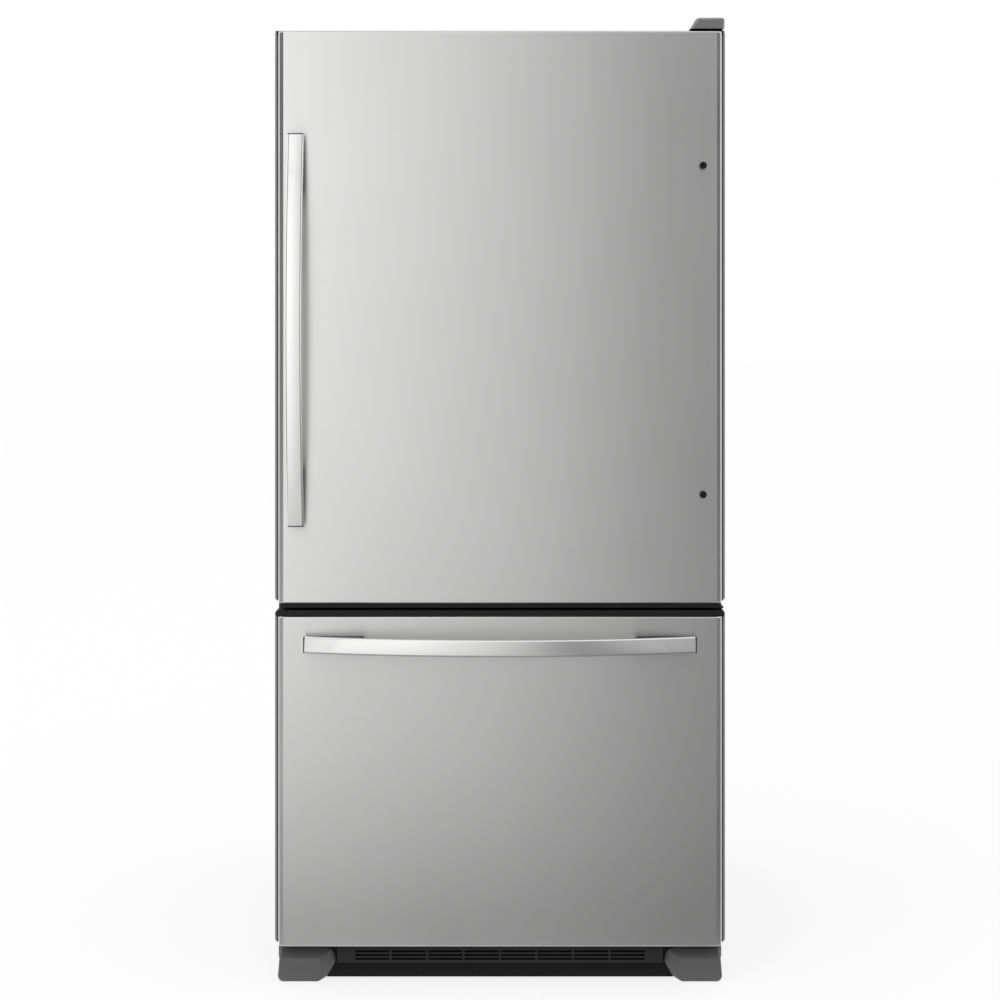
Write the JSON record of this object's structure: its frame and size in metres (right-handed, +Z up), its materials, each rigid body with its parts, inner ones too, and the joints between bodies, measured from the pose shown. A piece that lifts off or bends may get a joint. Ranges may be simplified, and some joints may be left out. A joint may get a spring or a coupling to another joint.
{
  "type": "bottom freezer refrigerator",
  "caption": "Free-standing refrigerator with a swinging stainless door over a pull-out freezer drawer, bowed bar handles, shelves, bins, crispers and baskets.",
  "frame": {"origin": "centre of the footprint on the floor", "axes": "+Z up, +X to the right seen from the front, the front faces -Y"},
  "size_m": [0.829, 0.8599, 1.775],
  "materials": {
    "stainless": "satin",
    "cabinet_paint": "satin",
    "trim_paint": "satin",
    "galvanised": "satin",
    "foam": "matte",
    "liner_white": "gloss",
    "white_plastic": "satin",
    "black_plastic": "satin",
    "grille_plastic": "satin",
    "hinge_steel": "satin",
    "gasket": "matte",
    "clear_plastic": "gloss",
    "shelf_glass": "gloss",
    "lamp": "gloss",
    "handle_metal": "satin",
    "handle_dark": "satin",
    "coil_metal": "satin",
    "motor_steel": "satin"
  },
  "bodies": {
    "cabinet": {"cabinet_shell": "cabinet_paint", "rear_covers": "galvanised", "foam_insulation": "foam", "fresh_food_liner": "liner_white", "freezer_liner": "liner_white", "mullion_rail": "black_plastic", "base_frame": "galvanised", "base_grille": "grille_plastic", "leveling_legs": "galvanised", "roller_brackets": "galvanised", "top_hinge": "hinge_steel", "hinge_cover": "cabinet_paint", "center_hinge": "hinge_steel", "cabinet_screws": "galvanised", "control_housing": "liner_white", "interior_lamp": "lamp", "shelf_frames": "white_plastic", "shelf_glass": "shelf_glass", "air_duct": "liner_white", "fixed_slides": "galvanised", "evaporator": "coil_metal", "evaporator_cover": "liner_white", "fan_motors": "motor_steel", "compressor": "motor_steel", "condenser_coil": "coil_metal", "drain_pan": "black_plastic"},
    "fresh_food_door": {"door_skin": "stainless", "door_side_trims": "trim_paint", "door_foam": "foam", "door_liner": "liner_white", "door_gasket": "gasket", "door_caps": "black_plastic", "door_handle": "handle_metal", "door_handle_feet": "handle_dark", "door_studs": "handle_dark", "door_bins": "clear_plastic"},
    "dairy_lid": {"dairy_lid": "clear_plastic"},
    "crisper_left": {"crisper_left": "clear_plastic"},
    "crisper_right": {"crisper_right": "clear_plastic"},
    "humidity_slider_left": {"humidity_slider_left": "white_plastic"},
    "humidity_slider_right": {"humidity_slider_right": "white_plastic"},
    "fresh_food_knob": {"fresh_food_knob": "white_plastic"},
    "freezer_knob": {"freezer_knob": "white_plastic"},
    "light_switch": {"switch_plunger": "white_plastic"},
    "freezer_drawer": {"drawer_skin": "stainless", "drawer_side_trims": "trim_paint", "drawer_foam": "foam", "drawer_liner": "liner_white", "drawer_gasket": "gasket", "drawer_caps": "black_plastic", "drawer_handle": "handle_metal", "drawer_handle_feet": "handle_dark", "drawer_rails": "galvanised", "lower_basket": "white_plastic"},
    "middle_slides": {"middle_slides": "galvanised"},
    "upper_basket": {"upper_basket": "white_plastic"},
    "evaporator_fan": {"evaporator_fan": "black_plastic"},
    "condenser_fan": {"condenser_fan": "black_plastic"},
    "roller_left": {"roller_left": "black_plastic"},
    "roller_right": {"roller_right": "black_plastic"}
  },
  "joints": [
    {"name": "door_hinge", "type": "hinge", "parent": "cabinet", "child": "fresh_food_door", "pos_m": [0.3945, -0.332, 1.2], "axis": [0, 0, 1], "range_deg": [0, 130]},
    {"name": "drawer_slide", "type": "slide", "parent": "cabinet", "child": "freezer_drawer", "axis": [0, -1, 0], "range_m": [0, 0.4]},
    {"name": "middle_slide", "type": "slide", "parent": "cabinet", "child": "middle_slides", "axis": [0, -1, 0], "range_m": [0, 0.2]},
    {"name": "upper_basket_slide", "type": "slide", "parent": "cabinet", "child": "upper_basket", "axis": [0, -1, 0], "range_m": [0, 0.2]},
    {"name": "crisper_left_slide", "type": "slide", "parent": "cabinet", "child": "crisper_left", "axis": [0, -1, 0], "range_m": [0, 0.2]},
    {"name": "crisper_right_slide", "type": "slide", "parent": "cabinet", "child": "crisper_right", "axis": [0, -1, 0], "range_m": [0, 0.2]},
    {"name": "humidity_left", "type": "slide", "parent": "crisper_left", "child": "humidity_slider_left", "axis": [1, 0, 0], "range_m": [0, 0.03]},
    {"name": "humidity_right", "type": "slide", "parent": "crisper_right", "child": "humidity_slider_right", "axis": [1, 0, 0], "range_m": [0, 0.03]},
    {"name": "fresh_food_dial", "type": "hinge", "parent": "cabinet", "child": "fresh_food_knob", "pos_m": [-0.055, -0.167, 1.6775], "axis": [0, -1, 0], "range_deg": [-135, 135]},
    {"name": "freezer_dial", "type": "hinge", "parent": "cabinet", "child": "freezer_knob", "pos_m": [0.055, -0.167, 1.6775], "axis": [0, -1, 0], "range_deg": [-135, 135]},
    {"name": "light_switch_travel", "type": "slide", "parent": "cabinet", "child": "light_switch", "axis": [0, -1, 0], "range_m": [0, 0.006]},
    {"name": "dairy_lid_hinge", "type": "hinge", "parent": "fresh_food_door", "child": "dairy_lid", "pos_m": [-0.153, -0.1928, 1.634], "axis": [1, 0, 0], "range_deg": [0, 80]},
    {"name": "evaporator_fan_spin", "type": "hinge", "parent": "cabinet", "child": "evaporator_fan", "pos_m": [0, 0.302, 0.585], "axis": [0, 1, 0], "continuous": true},
    {"name": "condenser_fan_spin", "type": "hinge", "parent": "cabinet", "child": "condenser_fan", "pos_m": [0.03, 0.3225, 0.15], "axis": [1, 0, 0], "continuous": true},
    {"name": "roller_left_spin", "type": "hinge", "parent": "cabinet", "child": "roller_left", "pos_m": [-0.372, 0.38, 0.025], "axis": [1, 0, 0], "continuous": true},
    {"name": "roller_right_spin", "type": "hinge", "parent": "cabinet", "child": "roller_right", "pos_m": [0.372, 0.38, 0.025], "axis": [1, 0, 0], "continuous": true}
  ],
  "couplings": [
    {"joint": "middle_slide", "follows": "drawer_slide", "ratio": 0.5},
    {"joint": "upper_basket_slide", "follows": "drawer_slide", "ratio": 0.5},
    {"joint": "crisper_left_slide", "follows": "door_hinge", "m_per_rad": 0.088},
    {"joint": "crisper_right_slide", "follows": "door_hinge", "m_per_rad": 0.088},
    {"joint": "light_switch_travel", "follows": "door_hinge", "m_per_rad": 0.0026}
  ]
}
